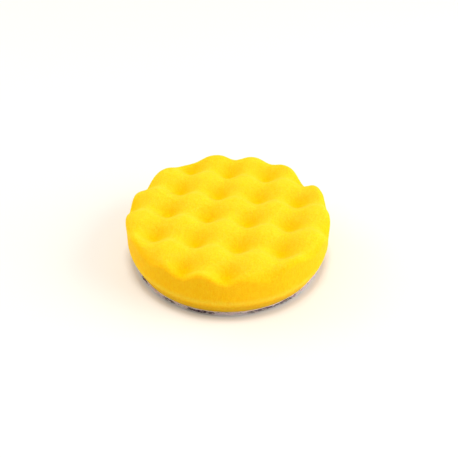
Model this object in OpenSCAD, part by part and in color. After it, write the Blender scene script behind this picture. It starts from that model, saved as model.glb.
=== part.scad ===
// Waffle-faced foam polishing pad with a hook-and-loop backing.
// Origin: centre of the underside of the loop pile. +Z runs along the spin axis to the working face.

/* [Foam disc] */
// Diameter of the foam disc at its widest, the shoulder above the bevel
pad_d = 80; // [60:1:160]
// Height of the foam, from its flat back to the tops of the ridges
foam_h = 21.2; // [16:0.1:40]
// Height of the bevel round the lower edge of the foam
bevel_h = 6.6; // [2:0.1:8]
// How far the bevel draws the lower edge in
bevel_in = 3.1; // [0.5:0.1:5]
// How far the wall leans in between the shoulder and the tops of the ridges
wall_lean = 0.5; // [0:0.1:2]

/* [Waffle face] */
// Distance from one pit to the next, along X and along Y
cell_pitch = 16.2; // [10:0.1:24]
// Depth of a pit below the tops of the ridges
pit_depth = 4.7; // [2:0.1:8]
// Shape of a pit: higher values give narrower pits and broader ridges
pit_shape = 1.6; // [1:0.1:2]
// Distance along X from the spin axis to the nearest pit
pit_offset_x = -7.7; // [-12:0.1:12]
// Distance along Y from the spin axis to the nearest pit
pit_offset_y = -4.6; // [-12:0.1:12]
// Facets along one cell of the waffle
steps_per_cell = 8; // [6:1:10]

/* [Loop backing] */
// Thickness of the hot-melt film that bonds the cloth to the foam
film_t = 0.2; // [0.1:0.05:0.5]
// Thickness of the knitted ground of the loop cloth
cloth_t = 0.5; // [0.3:0.1:1.5]
// Height of the brushed loops under the ground cloth
pile_h = 1.3; // [0.8:0.1:3]
// How far the cloth stands out past the lower edge of the foam
cloth_lip = 0.2; // [0:0.1:1]

/* [Hidden] */
$fn = 96;

pad_r = pad_d / 2;
foam_base_r = pad_r - bevel_in;
cloth_r = foam_base_r + cloth_lip;

// Heights of the layers, from the loops up
z_cloth = pile_h;
z_film = z_cloth + cloth_t;
z_foam = z_film + film_t;
z_ridge = z_foam + foam_h;

// The waffle block is cut from a sheet that is larger than the disc on every side
sheet_overlap = 1;
grid_step = cell_pitch / steps_per_cell;
half_steps = ceil((pad_r + sheet_overlap) / grid_step);
last_step = 2 * half_steps;

// Places of the grid lines, and height of the waffle face above a point
function grid_at(step) = (step - half_steps) * grid_step;
function wave(at, offset) = cos(360 * (at - offset) / cell_pitch);
function pit_share(x, y) = (2 + wave(x, pit_offset_x) + wave(y, pit_offset_y)) / 4;
function face_z(x, y) = z_ridge - pit_depth * pow(pit_share(x, y), pit_shape);

// Index of a grid point, and the grid points round the edge of the sheet, anticlockwise from above
function grid_index(i, j) = i * (last_step + 1) + j;
sheet_edge = concat(
    [for (i = [0:last_step - 1]) [i, 0]],
    [for (j = [0:last_step - 1]) [last_step, j]],
    [for (i = [last_step:-1:1]) [i, last_step]],
    [for (j = [last_step:-1:1]) [0, j]]
);

// A square sheet of foam with the waffle face on top and a flat underside
module waffle_sheet() {
    edge_n = len(sheet_edge);
    base_first = (last_step + 1) * (last_step + 1);
    base_centre = base_first + edge_n;
    z_under = z_foam - sheet_overlap;
    face_points = [
        for (i = [0:last_step]) for (j = [0:last_step])
            [grid_at(i), grid_at(j), face_z(grid_at(i), grid_at(j))]
    ];
    base_points = [for (at = sheet_edge) [grid_at(at[0]), grid_at(at[1]), z_under]];
    face_triangles = [
        for (i = [0:last_step - 1]) for (j = [0:last_step - 1]) for (upper = [false, true])
            upper
                ? [grid_index(i, j), grid_index(i, j + 1), grid_index(i + 1, j + 1)]
                : [grid_index(i, j), grid_index(i + 1, j + 1), grid_index(i + 1, j)]
    ];
    side_triangles = [
        for (k = [0:edge_n - 1]) for (upper = [false, true])
            let (next = (k + 1) % edge_n)
            let (top_a = grid_index(sheet_edge[k][0], sheet_edge[k][1]))
            let (top_b = grid_index(sheet_edge[next][0], sheet_edge[next][1]))
            upper
                ? [top_a, top_b, base_first + next]
                : [top_a, base_first + next, base_first + k]
    ];
    base_triangles = [
        for (k = [0:edge_n - 1])
            [base_centre, base_first + k, base_first + (k + 1) % edge_n]
    ];
    polyhedron(
        points = concat(face_points, base_points, [[0, 0, z_under]]),
        faces = concat(face_triangles, side_triangles, base_triangles),
        convexity = 10
    );
}

// The round shape that the disc is cut to: flat back, bevelled lower edge, wall that leans in
module die_cut() {
    rotate_extrude()
        polygon([
            [0, z_foam],
            [foam_base_r, z_foam],
            [pad_r, z_foam + bevel_h],
            [pad_r - wall_lean, z_ridge],
            [0, z_ridge]
        ]);
}

module disc(radius, z_low, thickness) {
    translate([0, 0, z_low])
        cylinder(r = radius, h = thickness);
}

// Open-cell foam disc with the waffle working face
module foam_body() {
    color("gold")
        intersection() {
            die_cut();
            waffle_sheet();
        }
}

// Hot-melt film between the foam and the loop cloth
module adhesive_film() {
    color("mistyrose")
        disc(foam_base_r, z_film, film_t);
}

// Knitted ground of the loop cloth
module backing_cloth() {
    color("indigo")
        disc(cloth_r, z_cloth, cloth_t);
}

// Brushed loops that the hooks of a backing plate grip
module loop_pile() {
    color("thistle")
        disc(cloth_r, 0, pile_h);
}

foam_body();
adhesive_film();
backing_cloth();
loop_pile();
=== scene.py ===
"""A waffle-faced foam polishing pad with its hook-and-loop backing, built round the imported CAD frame."""

import math

import bpy
import numpy as np
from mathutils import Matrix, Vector


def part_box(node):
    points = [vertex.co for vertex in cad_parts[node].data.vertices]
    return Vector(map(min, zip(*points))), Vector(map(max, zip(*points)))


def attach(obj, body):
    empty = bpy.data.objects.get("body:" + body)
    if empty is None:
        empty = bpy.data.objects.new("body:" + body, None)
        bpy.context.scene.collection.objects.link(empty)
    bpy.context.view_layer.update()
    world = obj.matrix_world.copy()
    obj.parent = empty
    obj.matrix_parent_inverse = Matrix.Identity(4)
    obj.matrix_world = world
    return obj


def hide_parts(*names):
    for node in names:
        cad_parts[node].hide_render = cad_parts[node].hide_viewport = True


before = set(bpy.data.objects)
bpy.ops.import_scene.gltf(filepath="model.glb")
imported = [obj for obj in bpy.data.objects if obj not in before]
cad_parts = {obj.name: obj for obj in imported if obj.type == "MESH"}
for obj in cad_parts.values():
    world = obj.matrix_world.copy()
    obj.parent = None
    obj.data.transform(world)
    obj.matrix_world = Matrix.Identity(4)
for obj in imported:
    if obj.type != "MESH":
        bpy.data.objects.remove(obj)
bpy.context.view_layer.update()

MM = 0.001
TURN = 2 * math.pi
QUARTER = math.pi / 2

# ---------------------------------------------------------------- sizes from the CAD frame
foam_low, foam_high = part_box("foam_body")
film_low, film_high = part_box("adhesive_film")
cloth_low, cloth_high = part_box("backing_cloth")
pile_low, pile_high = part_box("loop_pile")
PAD_R = foam_high.x
FOAM_BASE_R = film_high.x
CLOTH_R = cloth_high.x
Z_FOAM = foam_low.z
Z_RIDGE = foam_high.z

# ---------------------------------------------------------------- shape of the foam
CELL_PITCH = 16.05 * MM
PIT_DEPTH = 5.3 * MM
PIT_SHAPE = 1.45  # higher values give narrower pits and broader ridges
PIT_OFFSET = (-7.0 * MM, -4.45 * MM)
BEVEL_H = 6.6 * MM
Z_SHOULDER = Z_FOAM + BEVEL_H
WALL_FLARE = 0.23 * MM
WALL_WAIST = 0.23 * MM  # a die squeezes the foam, so the cut wall springs back slightly hollow
RIM_ROUND = 3.1 * MM
RIM_CRISP = 0.15  # the edge is rounded less where a pit reaches it
SHOULDER_ROUND = 1.2 * MM
BASE_ROUND = 0.5 * MM
# The convoluting roller leaves the rows of pits slightly askew and bowed
ROW_TURN = math.radians(2.0)
ROW_SKEW = 0.06
ROW_BOW = 0.061
ROW_FAN = -0.05
ROW_SQUEEZE = 0.981
# Soft foam is never quite true. Each pair is a height and the size of its features
LONG_WAVE = (0.22 * MM, 14 * MM)
SHORT_WAVE = (0.07 * MM, 4 * MM)
COARSE_GRAIN = (0.045 * MM, 1.3 * MM)
FINE_GRAIN = (0.03 * MM, 0.8 * MM)
CUT_MARKS = (0.09 * MM, 0.9 * MM)
CUT_STRETCH = 0.12  # the cut marks run up and down the bevel
UNEVEN_FADE = 2 * MM

# Mesh of the foam
FACE_R = PAD_R + WALL_FLARE - RIM_ROUND
TOP_RINGS = 104
SECTORS = 6 * TOP_RINGS
ROUND_STEPS = 12
RIM_SETTLES = 4  # passes that bring the rim's radius and height into line
WALL_STEPS = 22
BEVEL_STEPS = 16
SHOULDER_BAND = 0.4 * MM
BASE_BENDS = (0.35, 0.7, 1.0)
BASE_SHARES = (1, 0.97, 0.8, 0.5)

# Bake map of the foam: the face is one island, the wall two strips, the base one small disc
FACE_UV_R = 0.305
STRIP_UV_W = 0.178
UV_MARGIN = 0.006
BASE_UV_R = 0.17
BASE_UV_CENTRE = (0.3, 0.81)

# ---------------------------------------------------------------- colours and light
# Painted shade and light: the pits' deeper amber is painted shade, the paler yellow of the crests painted
# light and sheen
FOAM_PIT_SHADE = (0.98, 0.541, 0.001, 1)
FOAM_CREST_LIGHT = (0.99, 0.604, 0.027, 1)
# The wall's own yellow, with a blue lift that is painted sheen on the walls seen edge-on
FOAM_WALL_AND_SHEEN = (0.98, 0.572, 0.013, 1)
FOAM_BEVEL = (0.76, 0.46, 0.010, 1)
# Painted shade where the foam meets the backing, darkest at the bottom
FOAM_FOOT_SHADE = (0.54, 0.37, 0.05, 1)
# A painted highlight: the paler band along the rounded shoulder
FOAM_SHOULDER_HIGHLIGHT = (0.92, 0.66, 0.055, 1)
# These darken the foam where they are mixed in
BLOTCH_TINT = (1.0, 0.95, 0.6, 1)
MOTTLE_TINT = (1.0, 0.957, 0.3, 1)
CUT_TINT = (0.97, 0.80, 0.4, 1)
PORE_TINT = (0.96, 0.81, 0.15, 1)
SUBSURFACE_RED_GREEN_BLUE = (1.0, 0.55, 0.12)

FLOOR_HALF = 2.5
FLOOR_LOW = (0.805, 0.785, 0.765, 1)
FLOOR_HIGH = (0.825, 0.805, 0.785, 1)
WORLD_COLOUR = (1.0, 0.95, 0.82, 1)
WORLD_STRENGTH = 0.595
WHITE = (1.0, 1.0, 1.0)
COOL_WHITE = (0.94, 0.96, 1.0)
LIGHT_DISTANCE = 1.2
CAMERA_AZIMUTH = 13.6
CAMERA_ELEVATION = 39.9
CAMERA_DISTANCE = 286.5 * MM
CAMERA_LENS = 54.9
SENSOR_WIDTH = 36
AIM = Vector((0.4 * MM, 0.1 * MM, 11.9 * MM))


def noise(points, cell, seed):
    """Smooth value noise from -1 to 1 at each point, with features about one cell wide."""
    size = 32
    table = np.random.RandomState(seed).uniform(-1, 1, (size, size, size))
    at = points / cell
    low = np.floor(at).astype(int)
    part = at - low
    part = part * part * (3 - 2 * part)
    total = np.zeros(len(points))
    for corner in range(8):
        step = np.array([corner & 1, corner >> 1 & 1, corner >> 2 & 1])
        weight = np.prod(np.where(step, part, 1 - part), axis=1)
        x, y, z = ((low + step) % size).T
        total += weight * table[x, y, z]
    return total


def face_height(x, y):
    """Height of the waffle face above a point."""
    dx, dy = x - PIT_OFFSET[0], y - PIT_OFFSET[1]
    c, s = math.cos(ROW_TURN), math.sin(ROW_TURN)
    across = (dx * c + dy * s) / CELL_PITCH
    along = (dx * s - dy * c) / (CELL_PITCH * ROW_SQUEEZE)
    bow = (across * CELL_PITCH / PAD_R) ** 2
    fan = across * along * CELL_PITCH**2 / PAD_R**2
    u = across + ROW_SKEW * along
    v = along + ROW_BOW * bow + ROW_FAN * fan
    share = (2 + np.cos(TURN * u) + np.cos(TURN * v)) / 4
    return Z_RIDGE - PIT_DEPTH * share**PIT_SHAPE


def new_mesh(name, points, faces, material, uv=None):
    """A smooth-shaded piece from numpy points and lists of faces."""
    mesh = bpy.data.meshes.new(name)
    mesh.from_pydata([tuple(p) for p in points], [], [tuple(map(int, f)) for f in faces])
    mesh.validate()
    mesh.polygons.foreach_set("use_smooth", [True] * len(mesh.polygons))
    if uv is not None:
        layer = mesh.uv_layers.new(name="OFBake")
        layer.data.foreach_set("uv", np.asarray(uv, np.float32).ravel())
    mesh.update()
    piece = bpy.data.objects.new(name, mesh)
    bpy.context.scene.collection.objects.link(piece)
    mesh.materials.append(material)
    return piece


# ---------------------------------------------------------------- materials
class Nodes:
    """A short way to write a node material."""

    def __init__(self, name):
        self.material = bpy.data.materials.new(name)
        self.material.use_nodes = True
        self.tree = self.material.node_tree
        self.shader = self.tree.nodes["Principled BSDF"]
        self.coords = self.add("ShaderNodeTexCoord").outputs["Object"]

    def add(self, kind, **settings):
        node = self.tree.nodes.new(kind)
        for key, value in settings.items():
            setattr(node, key, value)
        return node

    def link(self, source, target):
        self.tree.links.new(source, target)

    def fill(self, socket, value):
        """Set a socket to a constant, or link it to another node's output."""
        if isinstance(value, (int, float, tuple)):
            socket.default_value = value
        else:
            self.link(value, socket)

    def height(self):
        """The height above the floor."""
        node = self.add("ShaderNodeSeparateXYZ")
        self.link(self.coords, node.inputs["Vector"])
        return node.outputs["Z"]

    def reach(self, source):
        """The length of a vector."""
        node = self.add("ShaderNodeVectorMath", operation="LENGTH")
        self.link(source, node.inputs[0])
        return node.outputs["Value"]

    def flattened(self):
        """The coordinates with no height, so that their length is the distance from the pad's axis."""
        node = self.add("ShaderNodeVectorMath", operation="MULTIPLY")
        self.link(self.coords, node.inputs[0])
        node.inputs[1].default_value = (1, 1, 0)
        return node.outputs["Vector"]

    def noise(self, size, detail=2.0, rough=0.5, stretch=1.0):
        """Cloudy noise, drawn out along Z by the stretch."""
        node = self.add("ShaderNodeTexNoise")
        node.inputs["Scale"].default_value = 1 / size
        node.inputs["Detail"].default_value = detail
        node.inputs["Roughness"].default_value = rough
        source = self.coords
        if stretch != 1.0:
            mapping = self.add("ShaderNodeMapping")
            mapping.inputs["Scale"].default_value = (1, 1, 1 / stretch)
            self.link(source, mapping.inputs["Vector"])
            source = mapping.outputs["Vector"]
        self.link(source, node.inputs["Vector"])
        return node.outputs["Fac"]

    def cells(self, size):
        node = self.add("ShaderNodeTexVoronoi", feature="F1")
        node.inputs["Scale"].default_value = 1 / size
        self.link(self.coords, node.inputs["Vector"])
        return node.outputs["Distance"]

    def span(self, value, low, high, to_low=0.0, to_high=1.0):
        """The value mapped from low...high to to_low...to_high, and held at its ends."""
        node = self.add("ShaderNodeMapRange")
        node.inputs["From Min"].default_value = low
        node.inputs["From Max"].default_value = high
        node.inputs["To Min"].default_value = to_low
        node.inputs["To Max"].default_value = to_high
        self.link(value, node.inputs["Value"])
        return node.outputs["Result"]

    def mix(self, share, a, b, blend="MIX"):
        node = self.add("ShaderNodeMix", data_type="RGBA", blend_type=blend)
        for name, kind, value in (("Factor", "VALUE", share), ("A", "RGBA", a), ("B", "RGBA", b)):
            self.fill([i for i in node.inputs if i.name == name and i.type == kind][0], value)
        return [o for o in node.outputs if o.type == "RGBA"][0]

    def math(self, operation, a, b=0.0):
        node = self.add("ShaderNodeMath", operation=operation)
        for socket, value in zip(node.inputs, (a, b)):
            self.fill(socket, value)
        return node.outputs["Value"]

    def bump(self, height, distance, strength=1.0):
        node = self.add("ShaderNodeBump")
        node.inputs["Distance"].default_value = distance
        node.inputs["Strength"].default_value = strength
        self.link(height, node.inputs["Height"])
        self.link(node.outputs["Normal"], self.shader.inputs["Normal"])

    def set(self, **values):
        for key, value in values.items():
            self.fill(self.shader.inputs[key.replace("_", " ")], value)


def foam_material():
    """Yellow foam with pores: deeper amber in the pits as painted shade, paler on the crests as painted
    light, with painted sheen on the wall, a painted highlight on the shoulder, brownish on the bevel and
    painted shade at its foot.
    """
    m = Nodes("foam")
    height = m.height()
    # Painted shade in the pits and painted light on the crests, mixed by height
    crest_low, crest_high = Z_RIDGE - PIT_DEPTH, Z_RIDGE - 0.35 * PIT_DEPTH
    crest_light = m.math("POWER", m.span(height, crest_low, crest_high), 0.75)
    # The wall takes its own yellow with painted sheen in place of the height mix
    on_wall = m.span(m.reach(m.flattened()), PAD_R - 1.5 * MM, PAD_R - 0.5 * MM)
    pores = m.cells(0.6 * MM)
    fine = m.cells(0.3 * MM)
    streaks = m.noise(0.55 * MM, 2, 0.6, stretch=4)
    on_bevel = m.span(height, Z_SHOULDER, Z_FOAM + 0.5 * BEVEL_H)
    # Painted shade at the foot of the foam, where it meets the backing
    foot = m.span(height, Z_FOAM + 2.2 * MM, Z_FOAM, 0.0, 0.8)
    # Painted highlight in a band along the shoulder
    off_shoulder = m.math("ABSOLUTE", m.math("SUBTRACT", height, Z_SHOULDER + 0.1 * MM))
    shoulder = m.span(off_shoulder, 2.2 * MM, 0.2 * MM, 0.0, 0.7)
    tone = m.mix(crest_light, FOAM_PIT_SHADE, FOAM_CREST_LIGHT)
    tone = m.mix(on_wall, tone, FOAM_WALL_AND_SHEEN)
    tone = m.mix(on_bevel, tone, FOAM_BEVEL)
    tone = m.mix(foot, tone, FOAM_FOOT_SHADE)
    tone = m.mix(shoulder, tone, FOAM_SHOULDER_HIGHLIGHT)
    blotches = m.span(m.noise(5 * MM, 3), 0.35, 0.65, 0.0, 0.5)
    mottle = m.span(m.noise(1.2 * MM, 3, 0.7), 0.42, 0.62, 0.0, 0.6)
    cuts = m.math("MULTIPLY", m.span(streaks, 0.42, 0.62), m.span(on_bevel, 0, 1, 0.4, 1.0))
    holes = m.span(pores, 0.48, 0.1, 0.0, 0.6)
    tone = m.mix(blotches, tone, BLOTCH_TINT, "MULTIPLY")
    tone = m.mix(mottle, tone, MOTTLE_TINT, "MULTIPLY")
    tone = m.mix(cuts, tone, CUT_TINT, "MULTIPLY")
    tone = m.mix(holes, tone, PORE_TINT, "MULTIPLY")
    m.set(Base_Color=tone, Roughness=m.span(pores, 0.1, 0.6, 0.95, 0.8))
    m.set(Specular_IOR_Level=0.01, Sheen_Weight=0.055, Sheen_Roughness=0.35)
    m.set(Subsurface_Weight=0.4, Subsurface_Scale=2.2 * MM, Subsurface_Radius=SUBSURFACE_RED_GREEN_BLUE)
    relief = m.math("ADD", m.math("MULTIPLY", pores, 0.7), m.math("MULTIPLY", fine, 0.3))
    relief = m.math("SUBTRACT", relief, m.math("MULTIPLY", streaks, 0.6))
    m.bump(relief, 0.25 * MM, 0.6)
    return m.material


def film_material():
    """Milky pinkish glue film."""
    m = Nodes("film")
    tint = m.mix(m.noise(1.5 * MM, 2), (0.94, 0.79, 0.80, 1), (0.98, 0.90, 0.92, 1))
    m.set(Base_Color=tint, Roughness=m.span(m.noise(0.8 * MM), 0.3, 0.7, 0.35, 0.6))
    m.set(Subsurface_Weight=0.2, Subsurface_Scale=0.3 * MM)
    m.bump(m.noise(0.5 * MM, 3), 0.05 * MM, 0.5)
    return m.material


def cloth_material():
    """Knitted ground, lighter underneath, with a stitch pattern, and dark plum patches at the cut edge
    that are partly the cloth's own edge and partly painted shade under the foam.
    """
    m = Nodes("ground_cloth")
    stitches = m.cells(0.55 * MM)
    yarn = m.span(stitches, 0.1, 0.5)
    patches = m.span(m.noise(6 * MM, 2), 0.4, 0.6)
    # Painted shade at the cut edge: the near-black and dark plum stand partly for the cloth's own edge,
    # partly for shade in the crevice under the foam
    dark = m.mix(patches, (0.035, 0.012, 0.022, 1), (0.13, 0.075, 0.14, 1))
    edge = m.mix(yarn, (0.18, 0.11, 0.19, 1), dark)
    under = m.mix(yarn, (0.52, 0.38, 0.50, 1), (0.38, 0.26, 0.37, 1))
    inner = m.span(m.reach(m.coords), CLOTH_R - 0.6 * MM, CLOTH_R - 2.0 * MM)
    colour = m.mix(inner, edge, under)
    m.set(Base_Color=colour, Roughness=m.span(stitches, 0.1, 0.6, 0.75, 0.95), Sheen_Weight=0.2)
    m.bump(stitches, 0.2 * MM, 0.7)
    return m.material


def pile_material(name, root, tip_low, tip_high):
    """Loop yarn whose roots, at the cloth, differ in colour from its tips; a root darker than the tips is
    painted shade down among the loops.
    """
    m = Nodes(name)
    up = m.span(m.height(), 0.75 * MM, 1.15 * MM)
    tips = m.mix(m.noise(2.5 * MM, 2), tip_low, tip_high)
    # A root colour darker than the tips is painted shade near the cloth
    colour = m.mix(up, tips, root)
    m.set(Base_Color=colour, Roughness=m.span(m.noise(0.4 * MM), 0.3, 0.7, 0.45, 0.7), Sheen_Weight=0.3)
    m.set(Subsurface_Weight=0.3, Subsurface_Scale=0.3 * MM)
    m.bump(m.noise(0.15 * MM, 2), 0.02 * MM, 0.5)
    return m.material


def floor_material():
    """Plain pale floor."""
    m = Nodes("floor")
    tone = m.mix(m.noise(0.3, 2), FLOOR_LOW, FLOOR_HIGH)
    m.set(Base_Color=tone, Roughness=0.8, Specular_IOR_Level=0.2)
    return m.material


# ---------------------------------------------------------------- foam disc
def hex_disc(rings):
    """Radius shares and angles of a disc with 6k points on ring k, and its triangles."""
    radius, angle, start = [0.0], [0.0], [0]
    for k in range(1, rings + 1):
        start.append(len(radius))
        radius += [k / rings] * (6 * k)
        angle += [TURN * i / (6 * k) for i in range(6 * k)]
    triangles = []
    for k in range(1, rings + 1):
        outer_n, inner_n = 6 * k, max(6 * (k - 1), 1)
        for side in range(6):
            for i in range(k):
                a = start[k] + side * k + i
                b = start[k] + (side * k + i + 1) % outer_n
                c = start[k - 1] + (side * (k - 1) + i) % inner_n
                triangles.append((c, a, b))
                if i < k - 1:
                    d = start[k - 1] + (side * (k - 1) + i + 1) % inner_n
                    triangles.append((c, b, d))
    return np.array(radius), np.array(angle), triangles


def soft_corner(a, b, width):
    """The smaller of a and b, rounded over that width where they meet."""
    near = np.clip(0.5 + 0.5 * (b - a) / width, 0, 1)
    return b + (a - b) * near - width * near * (1 - near)


def wall_radius(z):
    """Radius of the die-cut wall and the bevel at a height."""
    up = np.clip((z - Z_SHOULDER) / (Z_RIDGE - Z_SHOULDER), 0, 1)
    wall = PAD_R + WALL_FLARE * up - WALL_WAIST * np.sin(math.pi * up)
    bevel = FOAM_BASE_R + (PAD_R - FOAM_BASE_R) * (z - Z_FOAM) / BEVEL_H
    return soft_corner(wall, bevel, SHOULDER_ROUND)


def foam_rings():
    """The angles of the sectors, and the radius and height of each ring from the rim to the base."""
    angle = TURN * np.arange(SECTORS) / SECTORS
    c, s = np.cos(angle), np.sin(angle)
    rim_r = np.full(SECTORS, PAD_R)
    for _ in range(RIM_SETTLES):
        edge = face_height(rim_r * c, rim_r * s)
        drop = RIM_ROUND * (1 - RIM_CRISP * np.clip((Z_RIDGE - edge) / PIT_DEPTH, 0, 1))
        rim_r = wall_radius(edge - drop)
    rings = []
    for step in range(1, ROUND_STEPS + 1):
        bend = QUARTER * step / ROUND_STEPS
        r = FACE_R + (rim_r - FACE_R) * math.sin(bend)
        rings.append((r, face_height(r * c, r * s) - drop * (1 - math.cos(bend))))
    wall_top = rings[-1][1]
    wall_low = Z_SHOULDER + SHOULDER_BAND
    for share in list(np.linspace(0, 1, WALL_STEPS + 1)[1:-1]) + [0.985, 1.0]:
        z = wall_top + (wall_low - wall_top) * share
        rings.append((wall_radius(z), z))
    bevel_top = Z_SHOULDER - SHOULDER_BAND
    bevel_low = Z_FOAM + BASE_ROUND
    heights = [Z_SHOULDER + SHOULDER_BAND / 2, Z_SHOULDER, Z_SHOULDER - SHOULDER_BAND / 2, bevel_top]
    heights += list(np.linspace(bevel_top, bevel_low, BEVEL_STEPS + 1)[1:])
    for z in heights:
        rings.append((np.full(SECTORS, wall_radius(z)), np.full(SECTORS, z)))
    low_r = wall_radius(bevel_low)
    for bend in BASE_BENDS:
        r = low_r - BASE_ROUND * (1 - math.cos(bend * QUARTER))
        z = bevel_low - BASE_ROUND * math.sin(bend * QUARTER)
        rings.append((np.full(SECTORS, r), np.full(SECTORS, z)))
    return angle, rings


def face_uv(r, a):
    """Place on the bake map of a point of the face or rim, r from the middle along the surface."""
    centre = FACE_UV_R + UV_MARGIN
    scaled = r * FACE_UV_R / (FACE_R + RIM_ROUND * QUARTER)
    return centre + scaled * math.cos(a), centre + scaled * math.sin(a)


def base_uv(share, a):
    """Place on the bake map of a point of the base, at a share of its radius."""
    r = BASE_UV_R * share
    return BASE_UV_CENTRE[0] + r * math.cos(a), BASE_UV_CENTRE[1] - r * math.sin(a)


def roughen(points):
    """Push the foam's points out of true by slow waves, cut marks and the grain of its cells."""

    def layer(pair, seed, stretch=1):
        height, size = pair
        return height * noise(points * [1, 1, stretch], size, seed)

    reach = np.hypot(points[:, 0], points[:, 1])
    radial = points[:, :2] / np.maximum(reach, 1e-6)[:, None]
    off_base = np.clip((points[:, 2] - Z_FOAM) / UNEVEN_FADE, 0, 1)
    on_wall = np.clip((reach - PAD_R * 0.9) / (PAD_R * 0.05), 0, 1)
    on_bevel = np.clip((Z_SHOULDER - points[:, 2]) / UNEVEN_FADE, 0, 1) * on_wall
    cuts = layer(CUT_MARKS, 6, CUT_STRETCH) * on_bevel
    wave = layer(LONG_WAVE, 1) + layer(SHORT_WAVE, 2)
    grain = layer(COARSE_GRAIN, 3) + layer(FINE_GRAIN, 4)
    points[:, :2] += radial * ((wave * 0.8 + grain) * on_wall * off_base + cuts)[:, None]
    points[:, 2] += (wave + grain) * (1 - on_wall) * off_base


def foam_disc(material):
    """The foam as one closed mesh: face, rounded rim, wall, bevel and base, with its bake map."""
    top_share, top_angle, triangles = hex_disc(TOP_RINGS)
    top_r = FACE_R * top_share
    x, y = top_r * np.cos(top_angle), top_r * np.sin(top_angle)
    blocks = [np.stack([x, y, face_height(x, y)], 1)]
    angle, rings = foam_rings()
    for r, z in rings:
        blocks.append(np.stack([r * np.cos(angle), r * np.sin(angle), z], 1))
    for share in BASE_SHARES[1:]:
        r = rings[-1][0] * share
        blocks.append(np.stack([r * np.cos(angle), r * np.sin(angle), rings[-1][1]], 1))
    centre = np.array([[0, 0, Z_FOAM]])
    points = np.concatenate(blocks + [centre])

    faces, uv = [], []
    for t in triangles:
        faces.append(t)
        uv += [face_uv(top_r[v], top_angle[v]) for v in t]
    first = [len(top_r) + k * SECTORS for k in range(-1, len(blocks) - 1)]
    edge_r = top_r[-1]
    round_step = RIM_ROUND * QUARTER / ROUND_STEPS
    base_start = len(rings)
    lengths = [0.0]
    for k in range(ROUND_STEPS, len(rings)):
        step = np.hypot(rings[k][0] - rings[k - 1][0], rings[k][1] - rings[k - 1][1]).mean()
        lengths.append(lengths[-1] + step)
    for k in range(len(first) - 1):
        for i in range(SECTORS):
            j = (i + 1) % SECTORS
            faces.append((first[k] + i, first[k + 1] + i, first[k + 1] + j, first[k] + j))
            a, b = TURN * i / SECTORS, TURN * (i + 1) / SECTORS
            if k < ROUND_STEPS:
                r0 = edge_r + round_step * k
                r1 = edge_r + round_step * (k + 1)
                uv += [face_uv(r0, a), face_uv(r1, a), face_uv(r1, b), face_uv(r0, b)]
            elif k < base_start:
                half = 2 * i // SECTORS
                left = 2 * FACE_UV_R + 3 * UV_MARGIN + half * (STRIP_UV_W + UV_MARGIN)
                u0 = left + STRIP_UV_W * lengths[k - ROUND_STEPS] / lengths[-1]
                u1 = left + STRIP_UV_W * lengths[k - ROUND_STEPS + 1] / lengths[-1]
                v0 = UV_MARGIN + (1 - 2 * UV_MARGIN) * (2 * i / SECTORS - half)
                v1 = UV_MARGIN + (1 - 2 * UV_MARGIN) * (2 * (i + 1) / SECTORS - half)
                uv += [(u0, v0), (u1, v0), (u1, v1), (u0, v1)]
            else:
                s0, s1 = BASE_SHARES[k - base_start], BASE_SHARES[k - base_start + 1]
                uv += [base_uv(s0, a), base_uv(s1, a), base_uv(s1, b), base_uv(s0, b)]
    last = first[-1]
    for i in range(SECTORS):
        j = (i + 1) % SECTORS
        faces.append((last + i, len(points) - 1, last + j))
        a, b = TURN * i / SECTORS, TURN * (i + 1) / SECTORS
        uv += [base_uv(BASE_SHARES[-1], a), base_uv(0, 0), base_uv(BASE_SHARES[-1], b)]

    roughen(points)
    return new_mesh("foam_disc", points, faces, material, uv)


# ---------------------------------------------------------------- film and cloth
def ragged_disc(name, radius, low, high, swell, cell, seed, material):
    """A thin closed disc from low to high, whose rounded edge wanders in and out a little."""
    count, rings = 720, 5
    angle = TURN * np.arange(count) / count
    around = np.stack([radius * np.cos(angle), radius * np.sin(angle), np.zeros(count)], 1)
    wander = swell * noise(around, cell, seed) + 0.5 * swell * noise(around, cell / 3, seed + 1)
    half, middle = (high.z - low.z) / 2, (high.z + low.z) / 2
    profile = [(0.35, 1.0), (0.7, 1.0), (0.95, 1.0)]
    profile += [(1.0, math.cos(math.pi * k / (rings - 1))) for k in range(rings)]
    profile += [(0.95, -1.0), (0.7, -1.0), (0.35, -1.0)]
    blocks = []
    for share, level in profile:
        r = np.full(count, radius * share)
        if share == 1.0:
            r += wander - half * (1 - math.sqrt(max(0.0, 1 - level * level)))
        z = np.full(count, middle + half * level)
        blocks.append(np.stack([r * np.cos(angle), r * np.sin(angle), z], 1))
    points = np.concatenate(blocks + [np.array([[0, 0, high.z], [0, 0, low.z]])])
    faces = []
    for k in range(len(profile) - 1):
        for i in range(count):
            j = (i + 1) % count
            faces.append((k * count + i, (k + 1) * count + i, (k + 1) * count + j, k * count + j))
    top_centre, low_centre, last = len(points) - 2, len(points) - 1, (len(profile) - 1) * count
    for i in range(count):
        j = (i + 1) % count
        faces.append((top_centre, i, j))
        faces.append((low_centre, last + j, last + i))
    return new_mesh(name, points, faces, material)


# ---------------------------------------------------------------- loop pile
YARN_R = 0.05 * MM
YARN_SIDES = 3
LOOP_RINGS = 7
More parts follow.
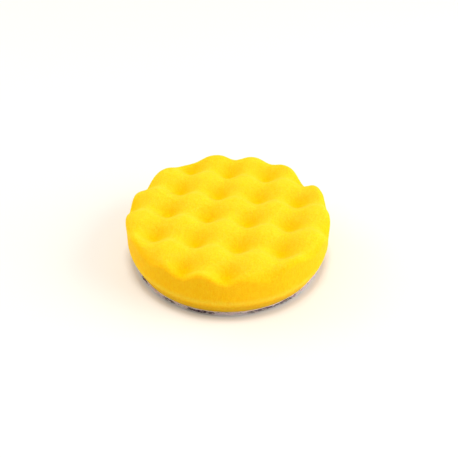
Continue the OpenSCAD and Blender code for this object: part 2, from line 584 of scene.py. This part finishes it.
# Stretches of the cloth's cut edge with no frayed loops: azimuth from the front (-Y) and half width,
# in degrees, and how thick the tufts of dark ground yarn, partly painted shade, are there
BARE_STRETCHES = [
    (-46, 5, 0.4),
    (-23, 4, 0.4),
    (-2.5, 8, 0.55),
    (40, 16, 0.2),
    (95, 7, 0.3),
    (128, 12, 0.2),
    (161, 5, 0.4),
    (-165, 9, 0.2),
    (-130, 6, 0.4),
    (-92, 10, 0.2),
]
BARE_FADE = 3  # degrees over which the fringe thins out at the end of a bare stretch
TUFT_STEP = 1.6  # degrees between the dark tufts there
FRINGE_INSET = 0.15 * MM
FRINGE_REACH = (0.1, 0.4)  # how far the fringe stands out past its feet, in mm
FRINGE_LOOP_W = 0.8 * MM
FIELD_INSET = 1.5 * MM
FIELD_SCATTER = 0.25 * MM
FIELD_LOOP_W = 1.0 * MM
RIM_LOOPS_W = 2.4 * MM
RIM_INSET = 0.35 * MM
RIM_LEAN = -0.25 * MM
RIM_LOOP_W = 0.7 * MM


def loops(name, feet, outward, height, width, seed, material, turn=None):
    """Yarn loops on the ground cloth, one at each foot, as thin tubes. A negative height stands up."""
    rng = np.random.RandomState(seed)
    count = len(feet)
    turn = rng.uniform(0, TURN, count) if turn is None else turn
    span = np.stack([np.cos(turn), np.sin(turn)], 1)
    tall = height * rng.uniform(0.7, 1.0, count)
    wide = width * rng.uniform(0.6, 1.3, count)
    slump = rng.normal(0, 0.25, (count, 2)) * abs(height) + outward
    t = np.linspace(0, 1, LOOP_RINGS)
    line = np.zeros((count, LOOP_RINGS, 3))
    sway = np.sin(math.pi * t)
    for axis in (0, 1):
        line[:, :, axis] = (
            feet[:, axis, None]
            + span[:, axis, None] * wide[:, None] * -np.cos(math.pi * t) / 2 * (1 + 0.5 * sway)
            + slump[:, axis, None] * sway
        )
    line[:, :, 2] = cloth_low.z + YARN_R - (tall[:, None] + YARN_R) * sway**0.75
    line[:, :, 2] = np.maximum(line[:, :, 2], pile_low.z + YARN_R)
    along = np.gradient(line, axis=1)
    along /= np.linalg.norm(along, axis=2, keepdims=True)
    across = np.cross(along, np.array([0.0, 0.0, 1.0]) + 0.01)
    across /= np.maximum(np.linalg.norm(across, axis=2, keepdims=True), 1e-9)
    up = np.cross(across, along)
    strands = []
    for k in range(YARN_SIDES):
        a = TURN * k / YARN_SIDES
        strands.append(line + YARN_R * (math.cos(a) * across + math.sin(a) * up))
    points = np.stack(strands, 2).reshape(-1, 3)
    points[:, 2] = np.maximum(points[:, 2], pile_low.z)
    faces = []
    for n in range(count):
        base = n * LOOP_RINGS * YARN_SIDES
        for k in range(LOOP_RINGS - 1):
            for side in range(YARN_SIDES):
                a = base + k * YARN_SIDES + side
                b = base + k * YARN_SIDES + (side + 1) % YARN_SIDES
                faces.append((a, b, b + YARN_SIDES, a + YARN_SIDES))
        end = base + (LOOP_RINGS - 1) * YARN_SIDES
        faces.append((base + 2, base + 1, base))
        faces.append((end, end + 1, end + 2))
    return new_mesh(name, points, faces, material)


def pile_field(name, count, seed, material):
    """Loops spread evenly over the underside, each a little out of place."""
    rng = np.random.RandomState(seed)
    k = np.arange(count) + 0.5
    r = (CLOTH_R - FIELD_INSET) * np.sqrt(k / count)
    a = k * math.pi * (3 - math.sqrt(5))
    feet = np.stack([r * np.cos(a), r * np.sin(a)], 1) + rng.normal(0, FIELD_SCATTER, (count, 2))
    return loops(name, feet, np.zeros((1, 2)), pile_high.z, FIELD_LOOP_W, seed + 1, material)


def pile_rim(name, count, seed, material):
    """Closer loops near the edge of the cloth, which lean inwards."""
    rng = np.random.RandomState(seed)
    angle = rng.uniform(0, TURN, count)
    r = CLOTH_R - rng.uniform(0, 1, count) ** 1.5 * RIM_LOOPS_W - RIM_INSET
    out = np.stack([np.cos(angle), np.sin(angle)], 1)
    return loops(name, out * r[:, None], out * RIM_LEAN, pile_high.z, RIM_LOOP_W, seed + 1, material)


def pile_fringe(name, count, height, seed, material, on_bare=False):
    """Frayed loops along the cloth's cut edge, except at its bare stretches, or tufts on these alone."""
    rng = np.random.RandomState(seed)
    azimuth = rng.uniform(-180, 180, count)
    bare, thick = np.zeros(count), np.zeros(count)
    for middle, half, tufts in BARE_STRETCHES:
        gap = np.abs((azimuth - middle + 180) % 360 - 180)
        here = np.clip((half + BARE_FADE / 2 - gap) / BARE_FADE, 0, 1)
        bare, thick = np.maximum(bare, here), np.maximum(thick, here * tufts)
    if on_bare:
        azimuth = np.round(azimuth / TUFT_STEP) * TUFT_STEP + rng.normal(0, 0.15 * TUFT_STEP, count)
        azimuth = azimuth[rng.uniform(0, 1, count) < thick]
    else:
        azimuth = azimuth[rng.uniform(0, 1, count) > bare * 0.95]
    angle = np.radians(azimuth) - QUARTER
    out = np.stack([np.cos(angle), np.sin(angle)], 1)
    reach = rng.uniform(*FRINGE_REACH, (len(angle), 1)) * MM
    turn = angle + QUARTER + rng.normal(0, 0.3, len(angle))
    feet = out * (CLOTH_R - FRINGE_INSET)
    return loops(name, feet, out * reach, height, FRINGE_LOOP_W, seed + 1, material, turn)


# ---------------------------------------------------------------- pieces
foam = foam_disc(foam_material())
film_r = FOAM_BASE_R + 0.13 * MM
film = ragged_disc("film_layer", film_r, film_low, film_high, 0.15 * MM, 3 * MM, 5, film_material())
fabric = cloth_material()
cloth = ragged_disc("ground_cloth", CLOTH_R, cloth_low, cloth_high, 0.12 * MM, 1.2 * MM, 9, fabric)

# Its darker roots are painted shade down among the loops
field_yarn = pile_material(
    "loop_yarn",
    root=(0.50, 0.36, 0.48, 1),
    tip_low=(0.88, 0.70, 0.79, 1),
    tip_high=(0.97, 0.84, 0.91, 1),
)
# Its near-black roots are painted shade in the crevice under the foam
rim_yarn = pile_material(
    "rim_yarn",
    root=(0.12, 0.06, 0.12, 1),
    tip_low=(0.95, 0.80, 0.80, 1),
    tip_high=(0.99, 0.90, 0.89, 1),
)
# Paler than the field's tips: partly the yarn's own pale colour, partly painted light of the key lamp on
# the cut edge
fringe_yarn = pile_material(
    "fringe_yarn",
    root=(0.98, 0.80, 0.87, 1),
    tip_low=(0.99, 0.86, 0.86, 1),
    tip_high=(1.0, 0.94, 0.93, 1),
)
# Dark tufts at the bare stretches: partly dark ground yarn, partly painted shade in the crevice under the
# foam
shade_tuft_yarn = pile_material(
    "shade_tuft_yarn",
    root=(0.08, 0.04, 0.06, 1),
    tip_low=(0.09, 0.045, 0.07, 1),
    tip_high=(0.27, 0.18, 0.31, 1),
)
pile = [
    pile_field("loop_pile_field", 5000, 21, field_yarn),
    pile_field("loop_pile_underlay", 5100, 25, field_yarn),
    pile_rim("loop_pile_rim", 3600, 31, rim_yarn),
    pile_fringe("loop_fringe_up", 3600, -0.62 * MM, 41, fringe_yarn),
    pile_fringe("loop_fringe_down", 3000, 0.55 * MM, 51, fringe_yarn),
    # The dark tufts are partly painted shade under the foam
    pile_fringe("shade_tufts_up", 2000, -0.5 * MM, 61, shade_tuft_yarn, on_bare=True),
    pile_fringe("shade_tufts_down", 2200, 0.25 * MM, 71, shade_tuft_yarn, on_bare=True),
]

layers = [(foam, "foam_body", "foam"), (film, "adhesive_film", "film"), (cloth, "backing_cloth", "cloth")]
layers += [(piece, "loop_pile", "pile") for piece in pile]
for piece, node, slot in layers:
    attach(piece, "root")
    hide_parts(node)

# ---------------------------------------------------------------- floor, light and camera
floor_mesh = bpy.data.meshes.new("floor")
floor_corners = [(x * FLOOR_HALF, y * FLOOR_HALF, 0) for x, y in ((-1, -1), (1, -1), (1, 1), (-1, 1))]
floor_mesh.from_pydata(floor_corners, [], [(0, 1, 2, 3)])
floor = bpy.data.objects.new("floor", floor_mesh)
bpy.context.scene.collection.objects.link(floor)
floor_mesh.materials.append(floor_material())

scene = bpy.context.scene
scene.view_settings.view_transform = "Standard"
scene.view_settings.look = "None"
world = bpy.data.worlds.new("studio")
scene.world = world
world.use_nodes = True
world.node_tree.nodes["Background"].inputs["Color"].default_value = WORLD_COLOUR
world.node_tree.nodes["Background"].inputs["Strength"].default_value = WORLD_STRENGTH


def direction(azimuth, elevation):
    """Unit vector in degrees: azimuth 0 is in front of the pad (-Y) and 90 is on its right."""
    a, e = math.radians(azimuth), math.radians(elevation)
    return Vector((math.sin(a) * math.cos(e), -math.cos(a) * math.cos(e), math.sin(e)))


def look_from(thing, back, distance, target):
    """Place a lamp or the camera at a distance and aim it."""
    thing.location = back * distance
    thing.rotation_mode = "QUATERNION"
    thing.rotation_quaternion = (target - thing.location).to_track_quat("-Z", "Y")
    scene.collection.objects.link(thing)


def area_light(name, azimuth, elevation, size, power, colour):
    """A square soft box that looks at the pad."""
    data = bpy.data.lights.new(name, "AREA")
    data.size = size
    data.energy = power
    data.color = colour
    lamp = bpy.data.objects.new(name, data)
    look_from(lamp, direction(azimuth, elevation), LIGHT_DISTANCE, Vector((0, 0, 0)))


area_light("overhead", azimuth=CAMERA_AZIMUTH, elevation=86, size=0.3, power=6.3, colour=WHITE)
area_light("key", azimuth=CAMERA_AZIMUTH + 81, elevation=26, size=1.0, power=11.4, colour=COOL_WHITE)
area_light("fill", azimuth=CAMERA_AZIMUTH + 249, elevation=26, size=1.0, power=5.4, colour=WHITE)

camera_data = bpy.data.cameras.new("camera")
camera_data.lens = CAMERA_LENS
camera_data.sensor_width = SENSOR_WIDTH
camera_data.clip_start = 0.01
camera_data.clip_end = 20
camera = bpy.data.objects.new("camera", camera_data)
look_from(camera, direction(CAMERA_AZIMUTH, CAMERA_ELEVATION), CAMERA_DISTANCE, AIM)
scene.camera = camera
